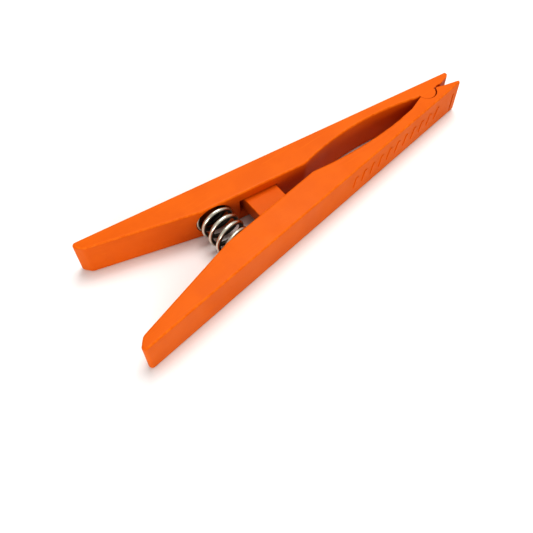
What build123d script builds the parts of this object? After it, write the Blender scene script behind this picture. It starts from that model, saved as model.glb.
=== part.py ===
"""Plastic spring clamp, lying flat on its side, jaws closed. Millimetres.

+X runs from the handle ends to the jaw tips, +Y from the seat arm to the lobe arm,
+Z up through the thickness. The origin is the middle of the footprint, on the surface.
The seat arm carries a tongue that enters the lobe arm and turns there on a hidden steel
pin. A coil spring between the handles pushes them apart and so closes the jaws.
"""

from build123d import *
from math import cos, radians, sin
import os

os.makedirs("parts", exist_ok=True)

# --- Arms: the plan is given for the lobe arm and mirrored for the seat arm ---
THICKNESS = 14.4
OUTER_MID = 13.40           # outer edge's distance from the centre plane at x = 0
TAPER = 0.1322              # how far the outer edge closes in per mm of x
ARM_WIDTH = 10.6            # across the parallel middle stretch, along y
LOBE_END_INNER = (-71.6, 18.7)      # sharp corners of the slanted handle ends
LOBE_END_OUTER_X = -75.5
SEAT_END_INNER = (-72.8, -18.65)
SEAT_END_OUTER_X = -76.9
END_OUTER_R = 1.2
END_INNER_R = 3.0
KNEE_X = -33.5              # where the handle meets the middle stretch
KNEE_R = 8.0
LENS_X = 6.0                # where the lens-shaped gap between the arms starts
LENS_R = 4.0
EDGE_R = 0.8                # soft moulded edge round the top and bottom faces
JAW_BAND = 5.0              # rims nearer the centre plane than this, past the lens, are jaw

# --- Jaw of the lobe arm: a round lobe, a recess for the nub, a slanted tip ---
LOBE_LENS_TOP = (28.6, 4.68)
LOBE_CENTRE = (61.5, 0.45)
LOBE_R = 3.3
LOBE_FROM, LOBE_TO = 183.6, 356.0
LOBE_RECESS = [(65.4, 0.15), (66.5, 0.5), (67.4, 0.6), (68.4, 0.3)]
LOBE_TIP = [(72.75, 1.45), (73.7, 2.3)]

# --- Jaw of the seat arm: a lip, a round seat, a nub, a slanted tip ---
SEAT_LENS_TOP = (31.5, -3.88)
SEAT_LENS_END = (53.5, -1.7)
SEAT_CENTRE = (61.78, 0.67)
SEAT_R = 3.75
SEAT_FROM, SEAT_TO = 191.1, 346.6
SEAT_NUB = [(66.3, -0.2), (68.5, -1.1)]
SEAT_TIP = [(74.0, -2.55), (74.8, -2.85)]
SMALL_R = 0.3
TIP_BOTTOM_R = 1.5          # round under each tip, seen from the side
GROOVE_X = 72.75            # the upright groove on the outer side, beside the tip
GROOVE_WIDTH = 0.8
GROOVE_DEPTH = 0.8
GROOVE_FROM_Z, GROOVE_TO_Z = 1.3, 10.2

# --- Raised grip bars on the seat arm's outer side ---
BAR_COUNT = 11
BAR_PITCH = 4.5
BAR_FIRST_X = 18.5
BAR_WIDTH = 1.5
BAR_HEIGHT = 5.5
BAR_ANGLE = 75.0
BAR_RAISE = 0.25
BAR_Z = 7.0

# --- Spring and its pockets ---
SPRING_X = -29.4
SPRING_Z = THICKNESS / 2
POCKET_R = 6.6
POCKET_FLOOR = 12.4         # distance of each pocket's floor from the centre plane
WIRE_D = 1.6
COIL_R = 5.65               # to the middle of the wire
COIL_PITCH = 3.65
SPRING_END_GAP = 0.05

# --- Hinge: tongue on the seat arm, mortise in the lobe arm, hidden pin ---
PIN_X, PIN_Y = -11.6, 9.5
PIN_R = 1.5
PIN_RUNNING_GAP = 0.05
PIN_FROM_Z, PIN_TO_Z = 0.3, 12.6
PIN_CHAMFER = 0.25
TONGUE_FROM_X, TONGUE_TO_X = -17.8, -5.5
TONGUE_HEIGHT = 6.1
TONGUE_SHOULDER_Y = PIN_Y - 1.0
TONGUE_HEAD_R = 3.8
TONGUE_ROOT_Y = -8.0        # buried in the seat arm
TONGUE_EDGE_R = 0.35
MORTISE_FROM_X, MORTISE_TO_X = -19.7, -5.2
MORTISE_HEIGHT = 6.6
MORTISE_CEILING_Y = PIN_Y + 1.4
MORTISE_SOCKET_R = 4.1


def outer_y(x):
    """Distance of an arm's outer edge from the centre plane."""
    return OUTER_MID - TAPER * x


def inner_y(x):
    """Distance of the inner edge from the centre plane, along the middle stretch."""
    return outer_y(x) - ARM_WIDTH


def on_circle(centre, radius, angle):
    """Point of a circle at an angle in degrees."""
    a = radians(angle)
    return (centre[0] + radius * cos(a), centre[1] + radius * sin(a))


def round_upright(arm, point, radius):
    """Round the upright corner of an arm that stands nearest to a point of the plan."""
    uprights = arm.edges().filter_by(Axis.Z)
    fillet(uprights.sort_by_distance((*point, THICKNESS / 2))[0], radius)


def raise_arm(arm, plan, side, end_points, small_corners):
    """Raise a plan to an arm: its big corners, then its soft rims, then the jaw's corners."""
    add(plan.sketch)
    extrude(amount=THICKNESS)
    end_inner, end_outer = end_points
    round_upright(arm, end_outer, END_OUTER_R)
    round_upright(arm, end_inner, END_INNER_R)
    round_upright(arm, (KNEE_X, side * inner_y(KNEE_X)), KNEE_R)
    round_upright(arm, (LENS_X, side * inner_y(LENS_X)), LENS_R)
    rims = arm.edges().filter_by(Plane.XY)
    jaw = [rim for rim in rims if rim.center().X > LENS_X and abs(rim.center().Y) < JAW_BAND]
    fillet([rim for rim in rims if rim not in jaw], EDGE_R)
    for point in small_corners:
        round_upright(arm, point, SMALL_R)


def handle_outline(side, end_points):
    """The outline's points from the lens gap to the handle end."""
    return [
        (LENS_X, side * inner_y(LENS_X)),
        (KNEE_X, side * inner_y(KNEE_X)),
        *end_points,
    ]


# --- Plans of the two arms ---
lobe_end_points = [LOBE_END_INNER, (LOBE_END_OUTER_X, outer_y(LOBE_END_OUTER_X))]
lobe_start = on_circle(LOBE_CENTRE, LOBE_R, LOBE_FROM)
lobe_end = on_circle(LOBE_CENTRE, LOBE_R, LOBE_TO)
lobe_outer_tip = (LOBE_TIP[-1][0], outer_y(LOBE_TIP[-1][0]))
with BuildSketch() as lobe_plan:
    with BuildLine():
        Polyline(*handle_outline(1, lobe_end_points), lobe_outer_tip)
        Polyline(lobe_outer_tip, *reversed(LOBE_TIP), *reversed(LOBE_RECESS), lobe_end)
        CenterArc(LOBE_CENTRE, LOBE_R, LOBE_FROM, LOBE_TO - LOBE_FROM)
        ThreePointArc(lobe_start, LOBE_LENS_TOP, (LENS_X, inner_y(LENS_X)))
    make_face()

seat_end_points = [SEAT_END_INNER, (SEAT_END_OUTER_X, -outer_y(SEAT_END_OUTER_X))]
seat_start = on_circle(SEAT_CENTRE, SEAT_R, SEAT_FROM)
seat_end = on_circle(SEAT_CENTRE, SEAT_R, SEAT_TO)
seat_outer_tip = (SEAT_TIP[-1][0], -outer_y(SEAT_TIP[-1][0]))
with BuildSketch() as seat_plan:
    with BuildLine():
        Polyline(*handle_outline(-1, seat_end_points), seat_outer_tip)
        Polyline(seat_outer_tip, *reversed(SEAT_TIP), *reversed(SEAT_NUB), seat_end)
        CenterArc(SEAT_CENTRE, SEAT_R, SEAT_FROM, SEAT_TO - SEAT_FROM)
        Line(seat_start, SEAT_LENS_END)
        ThreePointArc(SEAT_LENS_END, SEAT_LENS_TOP, (LENS_X, -inner_y(LENS_X)))
    make_face()


def cut_pocket(side):
    """The round blind pocket for one end of the spring, open towards the centre plane."""
    opening = Plane(origin=(SPRING_X, 0, SPRING_Z), z_dir=(0, side, 0))
    with BuildSketch(opening) as mouth:
        Circle(POCKET_R)
    extrude(mouth.sketch, amount=POCKET_FLOOR, mode=Mode.SUBTRACT)


def round_under_tip(tip_x):
    """Round an arm's bottom corner where it meets the end face at tip_x."""
    with BuildSketch(Plane.XZ) as waste:
        with Locations((tip_x, 0)):
            Rectangle(TIP_BOTTOM_R, TIP_BOTTOM_R, align=(Align.MAX, Align.MIN))
        with Locations((tip_x - TIP_BOTTOM_R, TIP_BOTTOM_R)):
            Circle(TIP_BOTTOM_R, mode=Mode.SUBTRACT)
    extrude(waste.sketch, amount=OUTER_MID, both=True, mode=Mode.SUBTRACT)


# --- Lobe arm, with the mortise and the pin's blind hole from below ---
with BuildPart() as lobe_arm:
    lobe_small_corners = [lobe_outer_tip, *LOBE_TIP, *LOBE_RECESS]
    raise_arm(lobe_arm, lobe_plan, 1, lobe_end_points, lobe_small_corners)
    round_under_tip(LOBE_TIP[-1][0])
    cut_pocket(1)
    with BuildSketch(Plane.XY.offset((THICKNESS - MORTISE_HEIGHT) / 2)):
        with Locations(((MORTISE_FROM_X + MORTISE_TO_X) / 2, 0)):
            Rectangle(
                MORTISE_TO_X - MORTISE_FROM_X,
                MORTISE_CEILING_Y,
                align=(Align.CENTER, Align.MIN),
            )
        with Locations((PIN_X, PIN_Y)):
            Circle(MORTISE_SOCKET_R)
    extrude(amount=MORTISE_HEIGHT, mode=Mode.SUBTRACT)
    with BuildSketch():
        with Locations((PIN_X, PIN_Y)):
            Circle(PIN_R)
    extrude(amount=PIN_TO_Z, mode=Mode.SUBTRACT)
lobe_arm.part.label = "lobe_arm"

# --- Tongue, moulded in one with the seat arm ---
with BuildPart() as tongue:
    with BuildSketch(Plane.XY.offset((THICKNESS - TONGUE_HEIGHT) / 2)):
        with Locations(((TONGUE_FROM_X + TONGUE_TO_X) / 2, TONGUE_ROOT_Y)):
            Rectangle(
                TONGUE_TO_X - TONGUE_FROM_X,
                TONGUE_SHOULDER_Y - TONGUE_ROOT_Y,
                align=(Align.CENTER, Align.MIN),
            )
        with Locations((PIN_X, PIN_Y)):
            Circle(TONGUE_HEAD_R)
    extrude(amount=TONGUE_HEIGHT)
    fillet(tongue.edges().filter_by(Axis.Y), TONGUE_EDGE_R)
    with BuildSketch(Plane.XY):
        with Locations((PIN_X, PIN_Y)):
            Circle(PIN_R + PIN_RUNNING_GAP)
    extrude(amount=THICKNESS, mode=Mode.SUBTRACT)

# --- Seat arm, with the tongue, the grip bars and the groove beside the tip ---
outer_side = Plane(origin=(0, -OUTER_MID, 0), x_dir=(1, TAPER, 0), z_dir=(TAPER, -1, 0))
with BuildPart() as seat_arm:
    seat_small_corners = [seat_outer_tip, seat_start, seat_end, *SEAT_NUB]
    raise_arm(seat_arm, seat_plan, -1, seat_end_points, seat_small_corners)
    round_under_tip(SEAT_TIP[-1][0])
    cut_pocket(-1)
    add(tongue.part)
    with BuildSketch(outer_side):
        with Locations([(BAR_FIRST_X + BAR_PITCH * i, BAR_Z) for i in range(BAR_COUNT)]):
            SlotOverall(BAR_HEIGHT, BAR_WIDTH, rotation=BAR_ANGLE)
    extrude(amount=BAR_RAISE)
    with BuildSketch(outer_side):
        with Locations((GROOVE_X, (GROOVE_FROM_Z + GROOVE_TO_Z) / 2)):
            SlotOverall(GROOVE_TO_Z - GROOVE_FROM_Z, GROOVE_WIDTH, rotation=90)
    extrude(amount=-GROOVE_DEPTH, mode=Mode.SUBTRACT)
seat_arm.part.label = "seat_arm"

# --- Hinge pin, pressed into the lobe arm from below ---
with BuildPart() as hinge_pin:
    with BuildSketch(Plane.XY.offset(PIN_FROM_Z)):
        with Locations((PIN_X, PIN_Y)):
            Circle(PIN_R)
    extrude(amount=PIN_TO_Z - PIN_FROM_Z)
    chamfer(hinge_pin.edges().filter_by(GeomType.CIRCLE), PIN_CHAMFER)
hinge_pin.part.label = "hinge_pin"

# --- Compression spring, a right-handed coil that stands in both pockets ---
spring_half = POCKET_FLOOR - SPRING_END_GAP - WIRE_D / 2
with BuildPart() as coil_spring:
    with BuildLine():
        coil = Helix(
            pitch=COIL_PITCH,
            height=2 * spring_half,
            radius=COIL_R,
            center=(SPRING_X, -spring_half, SPRING_Z),
            direction=(0, 1, 0),
        )
    with BuildSketch(Plane(origin=coil @ 0, z_dir=coil % 0)):
        Circle(WIRE_D / 2)
    sweep(path=coil, is_frenet=True)
coil_spring.part.label = "coil_spring"

for piece in (lobe_arm, seat_arm, hinge_pin, coil_spring):
    export_step(piece.part, f"parts/{piece.part.label}.step")
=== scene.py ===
"""Looks of the plastic spring clamp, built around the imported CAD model.

Everything is in metres and in the CAD model's own frame: the clamp lies flat with +Z up,
its handles towards -X, its jaws towards +X and the lobe arm towards +Y.
"""

from math import copysign, cos, pi, radians, sin

import bpy
from mathutils import Matrix, Vector


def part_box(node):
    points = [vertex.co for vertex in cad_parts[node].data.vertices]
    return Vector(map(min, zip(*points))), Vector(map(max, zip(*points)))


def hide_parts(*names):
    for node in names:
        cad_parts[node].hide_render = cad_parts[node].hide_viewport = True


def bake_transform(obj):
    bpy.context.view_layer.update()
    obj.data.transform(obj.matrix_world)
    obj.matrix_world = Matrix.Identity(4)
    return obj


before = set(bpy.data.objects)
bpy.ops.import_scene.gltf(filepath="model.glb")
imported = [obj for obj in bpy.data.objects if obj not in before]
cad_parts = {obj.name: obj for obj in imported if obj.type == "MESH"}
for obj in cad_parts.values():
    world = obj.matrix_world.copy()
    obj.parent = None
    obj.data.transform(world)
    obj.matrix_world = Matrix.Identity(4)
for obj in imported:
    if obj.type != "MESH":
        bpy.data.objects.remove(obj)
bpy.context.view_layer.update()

MM = 0.001

# --- Camera ---
CAMERA_AT = Vector((-94.4, -112.9, 203.3)) * MM
CAMERA_AIM = Vector((-26.9, -18.9, 7.2)) * MM
CAMERA_ROLL = radians(-2.0)
CAMERA_LENS = 47.4

# --- Light and floor ---
FLOOR_SIDE = 3.0
FLOOR_Z = -0.02 * MM          # just clear of the clamp's lower faces
FLOOR_COLOUR = (0.82, 0.805, 0.795, 1.0)
FLOOR_LIGHTER = (0.84, 0.826, 0.816, 1.0)
FLOOR_ROUGH = 0.85
FLOOR_CLOUD_SIZE = 60.0 * MM
SKY_COLOUR = (1.0, 0.99, 0.98, 1.0)
SKY_STRENGTH = 0.49
KEY_AT = Vector((0.25, 0.15, 0.85))
KEY_SIDE = 0.45
KEY_WATTS = 4.2
FILL_AT = Vector((-0.60, -0.62, 0.24))
FILL_SIDE = 0.45
FILL_WATTS = 2.6

# --- Orange plastic; a pair named _EDGES says where one look turns smoothly into the other ---
ORANGE = (0.67, 0.141, 0.0035, 1.0)
ORANGE_DEEP = (0.63, 0.126, 0.0028, 1.0)
ORANGE_RUBBED = (0.76, 0.215, 0.020, 1.0)
PLASTIC_GLOSS = 0.16
PLASTIC_ROUGH = (0.36, 0.50)  # from the handled patches to the untouched ones
CLOUD_SIZE = 14.0 * MM        # drift between the two oranges
CLOUD_EDGES = (0.32, 0.68)
HANDLED_SIZE = 22.0 * MM
HANDLED_EDGES = (0.3, 0.7)
GRAIN_SIZE = 0.35 * MM
GRAIN_DEPTH = 0.007 * MM
WAVE_SIZE = 9.0 * MM
WAVE_DEPTH = 0.030 * MM
RIM_SIDE_EDGES = (0.10, 0.45)  # how far upward the surface faces, from the sides to the rims
RIM_TOP_EDGES = (0.90, 0.995)  # and from the rims to the flat faces
RUBBED_PATCH_SIZE = 1.6 * MM  # how the rubbed rims break up
RUBBED_EDGES = (0.38, 0.62)
RUBBED_SHARE = 0.45
RUBBED_SMOOTHING = 0.06
SCUFF_SHARE = 0.18
SCUFF_ROUGHENING = 0.10
SCUFF_STRETCH = (0.05, 1.6, 1.0)
SCUFF_SETS = (                # width, direction in plan, and where the noise turns to scuff
    (1.1 * MM, radians(24.0), 0.66, 0.74),
    (1.3 * MM, radians(-31.0), 0.67, 0.75),
)

# --- Spring steel ---
STEEL = (0.74, 0.71, 0.61, 1.0)
STEEL_DARK = (0.30, 0.28, 0.23, 1.0)
# painted shade: the dark colour given to the wire's flanks that face into the coil
STEEL_PAINTED_SHADE = (0.085, 0.080, 0.066, 1.0)
CROWN_FROM, CROWN_TO = -0.15, 0.75  # how far outward the wire's surface faces, from flank to crown
CROWN_RAGGED = 0.9
CROWN_ROUGH, FLANK_ROUGH = 0.24, 0.46
DULL_EDGES = (0.42, 0.70)
DULL_SHARE = 0.30
STREAK_EDGES = (0.35, 0.70)
STREAK_SHARE = 0.25
DRAW_LINE_SIZE = 0.16         # in the wire's own coordinates: its radius, and radians of the coil
DRAW_LINE_STRETCH = (1.0, 1.0, 0.25)
DRAW_DEPTH = 0.0025 * MM
# patches that break up the edge of the painted shade on the flanks and also make the dull patches on
# the crown
SHADE_AND_DULL_PATCH_SIZE = 0.9

# --- Pin steel ---
PIN_ROUGH = (0.28, 0.42)
PIN_ROUGH_EDGES = (0.3, 0.7)
PIN_TINT_EDGES = (0.35, 0.7)
PIN_PATCH_SIZE = 0.7 * MM
PIN_RING_SCALE = 900.0
PIN_RING_DEPTH = 0.004 * MM

# --- Spring wire: a right-handed coil with closed ends, fanned a little by the arms ---
WIRE_R = 0.80 * MM
COIL_R = 5.65 * MM
COIL_PITCH = 3.65 * MM
CLOSED_PITCH = 1.72 * MM
CLOSED_TURNS = 1.1
EASE_TURNS = 0.6            # the stretch of wire over which the pitch opens
MID_ANGLE = radians(246.0)  # where the wire stands half way along, from +X towards +Z
FAN_TILT = radians(7.0)     # lean of the coils near the pockets' mouths
STEPS_PER_TURN = 64
WIRE_SIDES = 20


# --- Node helpers ---


def new_material(name, **shader_values):
    """A material and its Principled shader; the values go on the shader's own sockets."""
    material = bpy.data.materials.new(name)
    material.use_nodes = True
    shader = material.node_tree.nodes["Principled BSDF"]
    for socket, value in shader_values.items():
        shader.inputs[socket.replace("_", " ")].default_value = value
    return material, shader


def plug(material, node, inputs):
    """Sets a node's inputs; each is a plain value or another node's output socket."""
    for socket, value in inputs.items():
        if isinstance(value, bpy.types.NodeSocket):
            material.node_tree.links.new(value, node.inputs[socket])
        else:
            node.inputs[socket].default_value = value


def add_node(material, kind, inputs, **settings):
    """A new shader node with its settings and inputs."""
    node = material.node_tree.nodes.new("ShaderNode" + kind)
    for setting, value in settings.items():
        setattr(node, setting, value)
    plug(material, node, inputs)
    return node


def noise(material, place, size, detail=3.0, rough=0.55, stretch=(1, 1, 1), turn=(0, 0, 0)):
    """Noise whose features are about size large, drawn out by stretch after a turn."""
    mapped = add_node(material, "Mapping", {"Vector": place, "Scale": stretch, "Rotation": turn})
    inputs = {"Vector": mapped.outputs[0], "Scale": 1 / size, "Detail": detail, "Roughness": rough}
    return add_node(material, "TexNoise", inputs).outputs["Fac"]


def spread(material, value, low, high, to_low=0.0, to_high=1.0):
    """The value's stretch from low to high, mapped smoothly to to_low..to_high."""
    inputs = {"Value": value, "From Min": low, "From Max": high, "To Min": to_low, "To Max": to_high}
    return add_node(material, "MapRange", inputs, interpolation_type="SMOOTHSTEP").outputs["Result"]


def mixed(material, share, colour_a, colour_b):
    """Colour a at share 0, colour b at share 1."""
    inputs = {"Fac": share, "Color1": colour_a, "Color2": colour_b}
    return add_node(material, "MixRGB", inputs).outputs["Color"]


def maths(material, operation, a, b=0.0):
    """One step of arithmetic on a value, or on two."""
    return add_node(material, "Math", {0: a, 1: b}, operation=operation).outputs[0]


def relief(material, height, depth, below=None):
    """A bumped normal, depth metres from the lowest to the highest point, on top of another."""
    inputs = {"Height": height, "Distance": depth}
    if below is not None:
        inputs["Normal"] = below
    return add_node(material, "Bump", inputs).outputs[0]


# --- Materials ---


def rim_share(material):
    """1 on the rounded rims between the flat faces and the upright sides, 0 elsewhere."""
    normal = add_node(material, "NewGeometry", {}).outputs["Normal"]
    upward = add_node(material, "SeparateXYZ", {"Vector": normal}).outputs["Z"]
    upward = maths(material, "ABSOLUTE", upward)
    leaves_side = spread(material, upward, *RIM_SIDE_EDGES)
    leaves_top = spread(material, upward, *RIM_TOP_EDGES, 1.0, 0.0)
    return maths(material, "MULTIPLY", leaves_side, leaves_top)


def scuff_share(material, place):
    """1 in long fine scuffs that cross the plan in two directions, 0 elsewhere."""
    sets = [
        spread(material, noise(material, place, size, 2, 0.5, SCUFF_STRETCH, (0, 0, turn)), low, high)
        for size, turn, low, high in SCUFF_SETS
    ]
    return maths(material, "MAXIMUM", *sets)


def moulded_orange():
    """Orange moulded plastic: eroded grain, slow waves, fine scuffs and rubbed rims."""
    material, shader = new_material("moulded_orange", Specular_IOR_Level=PLASTIC_GLOSS)
    place = add_node(material, "TexCoord", {}).outputs["Object"]

    cloud = noise(material, place, CLOUD_SIZE, detail=4)
    colour = mixed(material, spread(material, cloud, *CLOUD_EDGES), ORANGE_DEEP, ORANGE)
    patches = noise(material, place, RUBBED_PATCH_SIZE, detail=5, rough=0.7)
    broken = spread(material, patches, *RUBBED_EDGES)
    rubbed = maths(material, "MULTIPLY", rim_share(material), broken)
    rubbed_tint = maths(material, "MULTIPLY", rubbed, RUBBED_SHARE)
    colour = mixed(material, rubbed_tint, colour, ORANGE_RUBBED)
    scuffs = scuff_share(material, place)
    scuff_tint = maths(material, "MULTIPLY", scuffs, SCUFF_SHARE)
    colour = mixed(material, scuff_tint, colour, ORANGE_RUBBED)

    handled = noise(material, place, HANDLED_SIZE, detail=5, rough=0.6)
    roughness = spread(material, handled, *HANDLED_EDGES, *PLASTIC_ROUGH)
    rougher = maths(material, "MULTIPLY", scuffs, SCUFF_ROUGHENING)
    smoother = maths(material, "MULTIPLY", rubbed, RUBBED_SMOOTHING)
    roughness = maths(material, "ADD", roughness, rougher)
    roughness = maths(material, "SUBTRACT", roughness, smoother)

    waves = relief(material, noise(material, place, WAVE_SIZE, detail=1), WAVE_DEPTH)
    grain = relief(material, noise(material, place, GRAIN_SIZE, detail=2), GRAIN_DEPTH, waves)
    plug(material, shader, {"Base Color": colour, "Roughness": roughness, "Normal": grain})
    return material


def spring_steel():
    """Tempered spring wire: drawn lines, dull patches and painted shade, a dark colour on the flanks
    that face into the coil; the outward crown stays plain bright steel.
    """
    material, shader = new_material("spring_steel", Metallic=1.0)
    place = add_node(material, "Attribute", {}, attribute_name="wire_place").outputs["Vector"]
    outward = add_node(material, "SeparateXYZ", {"Vector": place}).outputs["X"]

    lines = noise(material, place, DRAW_LINE_SIZE, rough=0.65, stretch=DRAW_LINE_STRETCH)
    patches = noise(material, place, SHADE_AND_DULL_PATCH_SIZE, detail=5, rough=0.65)
    centred = maths(material, "SUBTRACT", patches, 0.5)
    ragged = maths(material, "MULTIPLY", centred, CROWN_RAGGED)
    crown = spread(material, maths(material, "ADD", outward, ragged), CROWN_FROM, CROWN_TO)
    dull = maths(material, "MULTIPLY", spread(material, patches, *DULL_EDGES), DULL_SHARE)
    streaks = maths(material, "MULTIPLY", spread(material, lines, *STREAK_EDGES), STREAK_SHARE)
    bright = mixed(material, maths(material, "ADD", dull, streaks), STEEL, STEEL_DARK)
    # painted shade: the flanks that face into the coil get a dark colour in place of the plain steel
    flank = mixed(material, streaks, STEEL_PAINTED_SHADE, STEEL_DARK)
    colour = mixed(material, crown, flank, bright)
    metal_rough = spread(material, crown, 0.0, 1.0, FLANK_ROUGH, CROWN_ROUGH)
    roughness = maths(material, "ADD", metal_rough, dull)
    normal = relief(material, lines, DRAW_DEPTH)
    plug(material, shader, {"Base Color": colour, "Roughness": roughness, "Normal": normal})
    return material


def pin_steel():
    """A cut steel pin: fine turning marks round its axis and a brushed grey surface."""
    material, shader = new_material("pin_steel", Metallic=1.0)
    low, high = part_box("hinge_pin")
    place = add_node(material, "TexCoord", {}).outputs["Object"]
    to_axis = {"Vector": place, "Location": tuple(-(low + high) / 2)}
    centred = add_node(material, "Mapping", to_axis).outputs[0]
    rings = add_node(
        material,
        "TexWave",
        {"Vector": centred, "Scale": PIN_RING_SCALE, "Distortion": 1.5, "Detail": 2.0},
        wave_type="RINGS",
        rings_direction="Z",
    ).outputs["Fac"]
    patches = noise(material, place, PIN_PATCH_SIZE, detail=4)
    colour = mixed(material, spread(material, patches, *PIN_TINT_EDGES), STEEL, STEEL_DARK)
    roughness = spread(material, patches, *PIN_ROUGH_EDGES, *PIN_ROUGH)
    normal = relief(material, rings, PIN_RING_DEPTH)
    plug(material, shader, {"Base Color": colour, "Roughness": roughness, "Normal": normal})
    return material


def studio_floor():
    """Matt pale paper."""
    material, shader = new_material("studio_floor", Roughness=FLOOR_ROUGH)
    place = add_node(material, "TexCoord", {}).outputs["Object"]
    tone = noise(material, place, FLOOR_CLOUD_SIZE)
    colour = mixed(material, tone, FLOOR_COLOUR, FLOOR_LIGHTER)
    plug(material, shader, {"Base Color": colour})
    return material


def give_material(node, material):
    """Puts the material in every slot of a CAD node's object."""
    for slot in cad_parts[node].material_slots:
        slot.material = material


# --- Spring ---


def pitch_at(turns_from_end):
    """Rise per turn at a place along the wire, counted in turns from the nearer end."""
    opened = min(max((turns_from_end - CLOSED_TURNS) / EASE_TURNS, 0.0), 1.0)
    share = opened * opened * (3 - 2 * opened)
    return CLOSED_PITCH + (COIL_PITCH - CLOSED_PITCH) * share


def half_rise(steps):
    """How far the wire rises over that many steps, counted from one end of the coil."""
    return sum(pitch_at((i + 0.5) / STEPS_PER_TURN) for i in range(steps)) / STEPS_PER_TURN


def wire_line(low, high):
    """The wire's centre line: a list of (point, turns from the middle)."""
    middle = (low + high) / 2
    half_length = (high.y - low.y) / 2 - WIRE_R
    half_steps = 1
    while half_rise(half_steps) < half_length:
        half_steps += 1
    rises = [0.0]
    for i in range(half_steps):
        turns_left = (half_steps - i - 0.5) / STEPS_PER_TURN
        rises.append(rises[-1] + pitch_at(turns_left) / STEPS_PER_TURN)
    line = []
    for i in range(-half_steps, half_steps + 1):
        turns = i / STEPS_PER_TURN
        angle = MID_ANGLE - turns * 2 * pi
        x = COIL_R * cos(angle)
        y = copysign(min(rises[abs(i)], half_length), i)
        z = COIL_R * sin(angle)
        lean = FAN_TILT * sin(pi * y / half_length)
        line.append((middle + Vector((x, y - lean * x, z)), turns))
    return line


def spring_mesh(name, line, centre):
    """A round wire along the line, with flat cut ends and its place along and around kept."""
    vertices, places = [], []
    count = len(line)
    for i, (point, turns) in enumerate(line):
        along = (line[min(i + 1, count - 1)][0] - line[max(i - 1, 0)][0]).normalized()
        outward = Vector((point.x - centre.x, 0, point.z - centre.z))
        outward = (outward - along * outward.dot(along)).normalized()
        side = along.cross(outward)
        for k in range(WIRE_SIDES):
            a = 2 * pi * k / WIRE_SIDES
            vertices.append(point + (outward * cos(a) + side * sin(a)) * WIRE_R)
            places.append((cos(a), sin(a), turns * 2 * pi))
    faces = []
    for i in range(count - 1):
        for k in range(WIRE_SIDES):
            a, b = i * WIRE_SIDES + k, i * WIRE_SIDES + (k + 1) % WIRE_SIDES
            faces.append((a, b, b + WIRE_SIDES, a + WIRE_SIDES))
    faces.append(tuple(reversed(range(WIRE_SIDES))))
    faces.append(tuple(range((count - 1) * WIRE_SIDES, count * WIRE_SIDES)))
    mesh = bpy.data.meshes.new(name)
    mesh.from_pydata(vertices, [], faces)
    attribute = mesh.attributes.new("wire_place", "FLOAT_VECTOR", "POINT")
    attribute.data.foreach_set("vector", [value for place in places for value in place])
    mesh.shade_smooth()
    return mesh


def make_spring():
    """The finer spring that stands for the CAD helix, its coils fanned a little between the two arms.
    """
    low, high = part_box("coil_spring")
    middle = (low + high) / 2
    mesh = spring_mesh("spring_wire", wire_line(low, high), middle)
    mesh.materials.append(spring_steel())
    spring = bpy.data.objects.new("spring_wire", mesh)
    bpy.context.scene.collection.objects.link(spring)
    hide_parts("coil_spring")
    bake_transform(spring)


# --- Studio ---


def make_floor():
    """A wide pale floor under the clamp."""
    mesh = bpy.data.meshes.new("floor")
    half = FLOOR_SIDE / 2
    corners = [(x * half, y * half, FLOOR_Z) for x, y in ((-1, -1), (1, -1), (1, 1), (-1, 1))]
    mesh.from_pydata(corners, [], [(0, 1, 2, 3)])
    mesh.materials.append(studio_floor())
    floor = bpy.data.objects.new("floor", mesh)
    bpy.context.scene.collection.objects.link(floor)


def make_softbox(name, at, side, watts):
    """A square area light aimed at the clamp."""
    light = bpy.data.lights.new(name, "AREA")
    light.size = side
    light.energy = watts
    lamp = bpy.data.objects.new(name, light)
    lamp.location = at
    lamp.rotation_euler = (-at).to_track_quat("-Z", "Y").to_euler()
    bpy.context.scene.collection.objects.link(lamp)


def make_sky():
    """Even pale light from all round."""
    world = bpy.data.worlds.new("studio")
    world.use_nodes = True
    sky = world.node_tree.nodes["Background"]
    sky.inputs["Color"].default_value = SKY_COLOUR
    sky.inputs["Strength"].default_value = SKY_STRENGTH
    bpy.context.scene.world = world


def make_camera():
    """The camera, looking down along the clamp from beyond its handle ends."""
    data = bpy.data.cameras.new("camera")
    data.lens = CAMERA_LENS
    data.clip_start = 0.01
    camera = bpy.data.objects.new("camera", data)
    aim = (CAMERA_AIM - CAMERA_AT).to_track_quat("-Z", "Y").to_matrix().to_4x4()
    camera.matrix_world = (
        Matrix.Translation(CAMERA_AT) @ aim @ Matrix.Rotation(CAMERA_ROLL, 4, "Z")
    )
    bpy.context.scene.collection.objects.link(camera)
    bpy.context.scene.camera = camera


orange = moulded_orange()
for arm in ("lobe_arm", "seat_arm"):
    give_material(arm, orange)
give_material("hinge_pin", pin_steel())
make_spring()
make_floor()
make_sky()
make_softbox("key", KEY_AT, KEY_SIDE, KEY_WATTS)
make_softbox("fill", FILL_AT, FILL_SIDE, FILL_WATTS)
make_camera()
bpy.context.scene.view_settings.view_transform = "Standard"
bpy.context.scene.view_settings.look = "High Contrast"
